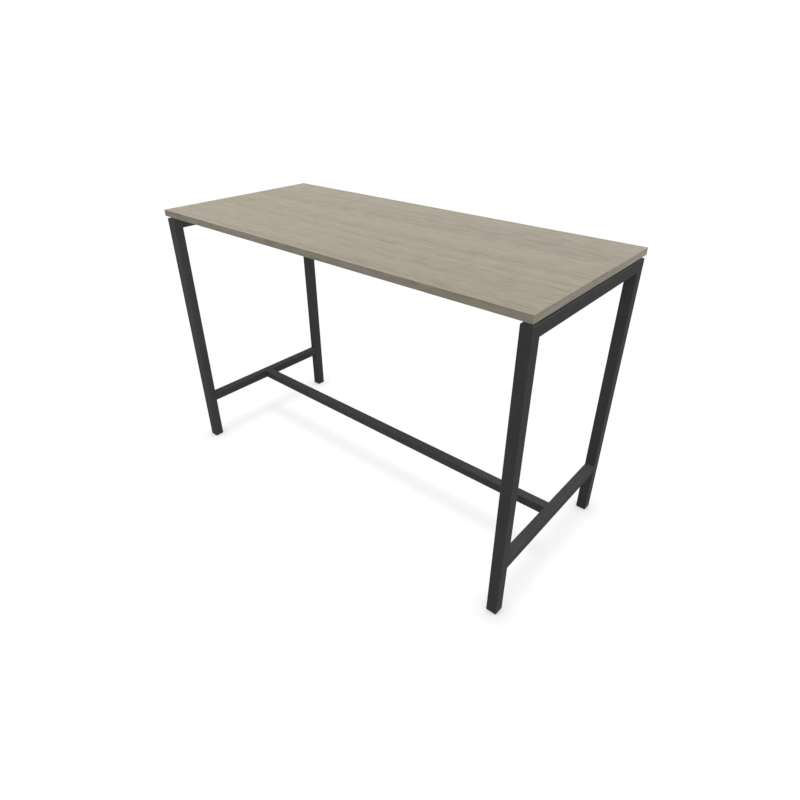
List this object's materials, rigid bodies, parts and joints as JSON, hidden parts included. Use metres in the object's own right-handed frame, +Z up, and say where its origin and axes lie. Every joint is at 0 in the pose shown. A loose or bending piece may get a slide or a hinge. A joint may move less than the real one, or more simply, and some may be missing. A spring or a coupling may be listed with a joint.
{
  "type": "standing meeting table",
  "caption": "Bar-height meeting table: oak-grain board set just clear of a slim square-tube frame, with mitred end frames, low foot rails and a centre stretcher.",
  "frame": {"origin": "on the floor under the middle of the top, with the feet screwed in", "axes": "+X along the table's length to its right end, -Y its front long side, +Z up"},
  "size_m": [1.7, 0.75, 1.11],
  "materials": {
    "board_core": "raw chipboard",
    "decor_laminate": "matt greige oak laminate",
    "backing_laminate": "matt backing laminate",
    "edge_band": "matt, oak grain",
    "coated_steel": "fine matt powder coat, dark grey",
    "zinc_steel": "zinc plated",
    "insert_metal": "turned",
    "black_plastic": "moulded, matt",
    "foot_pad": "moulded, matt"
  },
  "bodies": {
    "table": {"top_core": "board_core", "decor_laminate": "decor_laminate", "backing_laminate": "backing_laminate", "edge_band_front": "edge_band", "edge_band_back": "edge_band", "edge_band_left": "edge_band", "edge_band_right": "edge_band", "leg_front_left": "coated_steel", "leg_front_right": "coated_steel", "leg_back_left": "coated_steel", "leg_back_right": "coated_steel", "crossbar_left": "coated_steel", "crossbar_right": "coated_steel", "foot_rail_left": "coated_steel", "foot_rail_right": "coated_steel", "stretcher_spigot_left": "coated_steel", "stretcher_spigot_right": "coated_steel", "stretcher": "coated_steel", "beam_front": "coated_steel", "beam_back": "coated_steel", "beam_plate_front_left": "coated_steel", "beam_plate_front_right": "coated_steel", "beam_plate_back_left": "coated_steel", "beam_plate_back_right": "coated_steel", "stretcher_screws": "zinc_steel", "beam_bolts_left": "zinc_steel", "beam_bolts_right": "zinc_steel", "rivet_nuts_left": "zinc_steel", "rivet_nuts_right": "zinc_steel", "top_screws": "zinc_steel", "top_inserts": "insert_metal", "leg_nuts": "insert_metal", "top_spacers": "black_plastic", "leg_plug_front_left": "black_plastic", "leg_plug_front_right": "black_plastic", "leg_plug_back_left": "black_plastic", "leg_plug_back_right": "black_plastic"},
    "pad_front_left": {"foot_pad_front_left": "foot_pad"},
    "stem_front_left": {"foot_stem_front_left": "zinc_steel"},
    "pad_front_right": {"foot_pad_front_right": "foot_pad"},
    "stem_front_right": {"foot_stem_front_right": "zinc_steel"},
    "pad_back_left": {"foot_pad_back_left": "foot_pad"},
    "stem_back_left": {"foot_stem_back_left": "zinc_steel"},
    "pad_back_right": {"foot_pad_back_right": "foot_pad"},
    "stem_back_right": {"foot_stem_back_right": "zinc_steel"}
  },
  "joints": [
    {"name": "foot_lift_front_left", "type": "slide", "parent": "table", "child": "pad_front_left", "axis": [0, 0, -1], "range_m": [0, 0.01]},
    {"name": "foot_turn_front_left", "type": "hinge", "parent": "pad_front_left", "child": "stem_front_left", "pos_m": [-0.829, -0.349, 0], "axis": [0, 0, -1], "range_deg": [0, 2880]},
    {"name": "foot_lift_front_right", "type": "slide", "parent": "table", "child": "pad_front_right", "axis": [0, 0, -1], "range_m": [0, 0.01]},
    {"name": "foot_turn_front_right", "type": "hinge", "parent": "pad_front_right", "child": "stem_front_right", "pos_m": [0.829, -0.349, 0], "axis": [0, 0, -1], "range_deg": [0, 2880]},
    {"name": "foot_lift_back_left", "type": "slide", "parent": "table", "child": "pad_back_left", "axis": [0, 0, -1], "range_m": [0, 0.01]},
    {"name": "foot_turn_back_left", "type": "hinge", "parent": "pad_back_left", "child": "stem_back_left", "pos_m": [-0.829, 0.349, 0], "axis": [0, 0, -1], "range_deg": [0, 2880]},
    {"name": "foot_lift_back_right", "type": "slide", "parent": "table", "child": "pad_back_right", "axis": [0, 0, -1], "range_m": [0, 0.01]},
    {"name": "foot_turn_back_right", "type": "hinge", "parent": "pad_back_right", "child": "stem_back_right", "pos_m": [0.829, 0.349, 0], "axis": [0, 0, -1], "range_deg": [0, 2880]}
  ],
  "couplings": [
    {"joint": "foot_lift_front_left", "follows": "foot_turn_front_left", "m_per_rad": 0.00019894},
    {"joint": "foot_lift_front_right", "follows": "foot_turn_front_right", "m_per_rad": 0.00019894},
    {"joint": "foot_lift_back_left", "follows": "foot_turn_back_left", "m_per_rad": 0.00019894},
    {"joint": "foot_lift_back_right", "follows": "foot_turn_back_right", "m_per_rad": 0.00019894}
  ]
}
